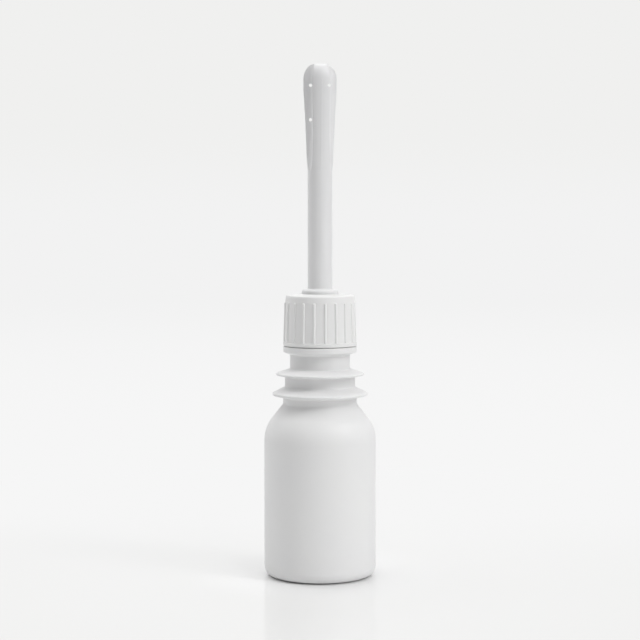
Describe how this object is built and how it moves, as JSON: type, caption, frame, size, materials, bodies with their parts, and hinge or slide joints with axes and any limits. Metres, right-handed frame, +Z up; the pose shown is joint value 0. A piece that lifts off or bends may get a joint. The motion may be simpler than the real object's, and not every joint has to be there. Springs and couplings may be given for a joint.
{
  "type": "bellows bottle",
  "caption": "Round squeeze bottle with a pleated bellows neck, a ribbed screw cap and a long fluted nozzle, with a check valve and a suction tube inside.",
  "frame": {"origin": "middle of the surface that the bottle stands on", "axes": "+Z up the bottle and the nozzle, -Y towards the front that the picture shows, +X to the right"},
  "size_m": [0.0472, 0.0472, 0.2149],
  "materials": {
    "bottle_plastic": "white low-density polyethylene, blow moulded, soft satin",
    "cap_plastic": "white polypropylene, injection moulded, fine satin",
    "nozzle_plastic": "white polyethylene, injection moulded, satin",
    "washer_foam": "white foamed polyethylene sheet, die cut, matt",
    "valve_plastic": "natural polyethylene, milky"
  },
  "bodies": {
    "bottle": {"bottle_body": "bottle_plastic"},
    "lower_bellows": {"lower_pleat": "bottle_plastic"},
    "waist": {"pleat_waist": "bottle_plastic"},
    "upper_bellows": {"upper_pleat": "bottle_plastic"},
    "neck": {"bottle_neck": "bottle_plastic"},
    "washer": {"sealing_washer": "washer_foam"},
    "nozzle": {"nozzle": "nozzle_plastic", "valve_seat": "valve_plastic", "dip_tube": "valve_plastic"},
    "ball": {"valve_ball": "valve_plastic"},
    "cap": {"cap": "cap_plastic"}
  },
  "joints": [
    {"name": "lower_pleat_squeeze", "type": "slide", "parent": "bottle", "child": "lower_bellows", "axis": [0, 0, -1], "range_m": [-0.0008, 0.0024], "stiffness_N_per_m": 3000, "deforming": ["lower_pleat"]},
    {"name": "lower_pleat_bend", "type": "hinge", "parent": "lower_bellows", "child": "waist", "pos_m": [0, 0, 0.0769], "axis": [1, 0, 0], "range_deg": [-6, 6], "stiffness_Nm_per_rad": 0.6},
    {"name": "upper_pleat_squeeze", "type": "slide", "parent": "waist", "child": "upper_bellows", "axis": [0, 0, -1], "range_m": [-0.0008, 0.0024], "stiffness_N_per_m": 3000, "deforming": ["upper_pleat"]},
    {"name": "upper_pleat_bend", "type": "hinge", "parent": "upper_bellows", "child": "neck", "pos_m": [0, 0, 0.0853], "axis": [0, 1, 0], "range_deg": [-6, 6], "stiffness_Nm_per_rad": 0.6},
    {"name": "closure_lift_off", "type": "slide", "parent": "neck", "child": "washer", "axis": [0, 0, 1], "range_m": [0, 0.112]},
    {"name": "thread_rise", "type": "slide", "parent": "washer", "child": "nozzle", "axis": [0, 0, 1], "range_m": [0, 0.0064]},
    {"name": "cap_turn", "type": "hinge", "parent": "nozzle", "child": "cap", "pos_m": [0, 0, 0.1081], "axis": [0, 0, 1], "range_deg": [0, 540]},
    {"name": "valve_ball_lift", "type": "slide", "parent": "nozzle", "child": "ball", "axis": [0, 0, 1], "range_m": [0, 0.002]}
  ],
  "couplings": [
    {"joint": "upper_pleat_squeeze", "follows": "lower_pleat_squeeze", "ratio": 1},
    {"joint": "thread_rise", "follows": "cap_turn", "m_per_rad": 0.00067376}
  ]
}
